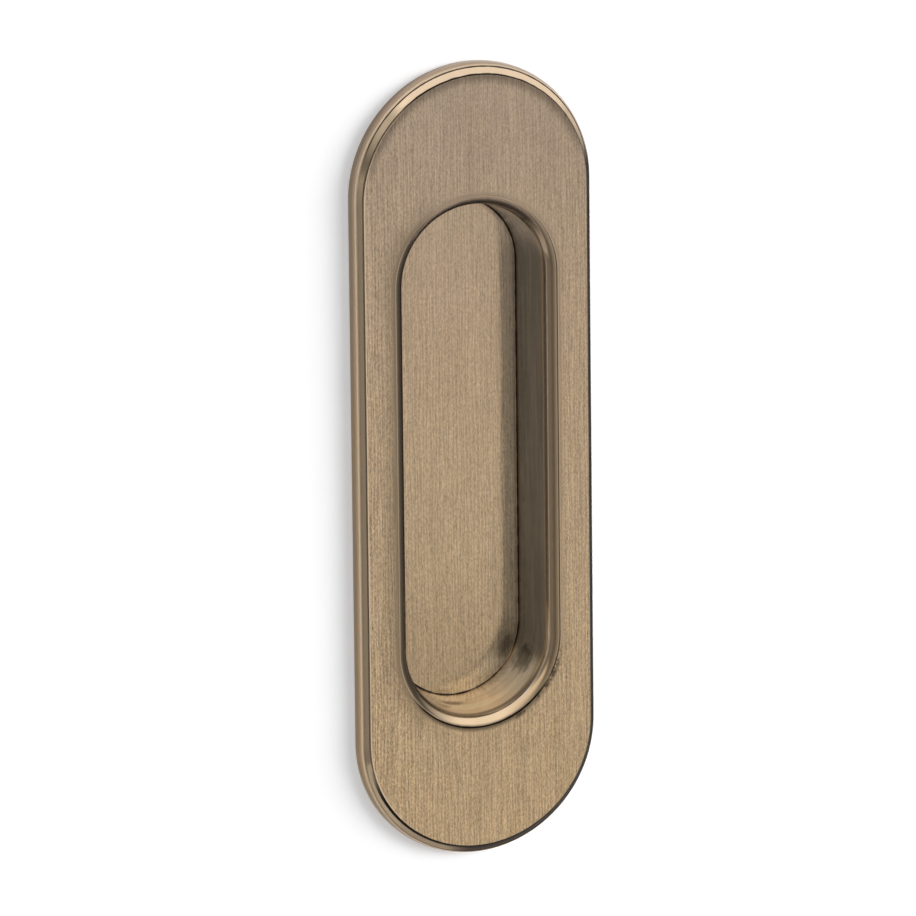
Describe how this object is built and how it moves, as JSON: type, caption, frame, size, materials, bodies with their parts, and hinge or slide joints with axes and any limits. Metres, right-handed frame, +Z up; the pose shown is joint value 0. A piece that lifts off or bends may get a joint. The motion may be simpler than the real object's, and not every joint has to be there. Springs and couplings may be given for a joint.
{
  "type": "pocket door pull",
  "caption": "Oval flush pull with a moulded edge and a rounded finger recess, let into the face of a sliding pocket door and gripped with the fingertips.",
  "frame": {"origin": "middle of the plate on its back plane, which lies on the face of the door; the middle of the routed pocket's mouth", "axes": "+Z up the length of the pull, -Y out of the door into the room, +Y into the door, +X to the right seen from the room"},
  "size_m": [0.038, 0.011, 0.12],
  "materials": {
    "antique_brass": "brushed, darkened antique brass with black-brown patina in the sharp corners"
  },
  "bodies": {
    "root": {"flush_pull": "antique_brass"}
  },
  "joints": []
}
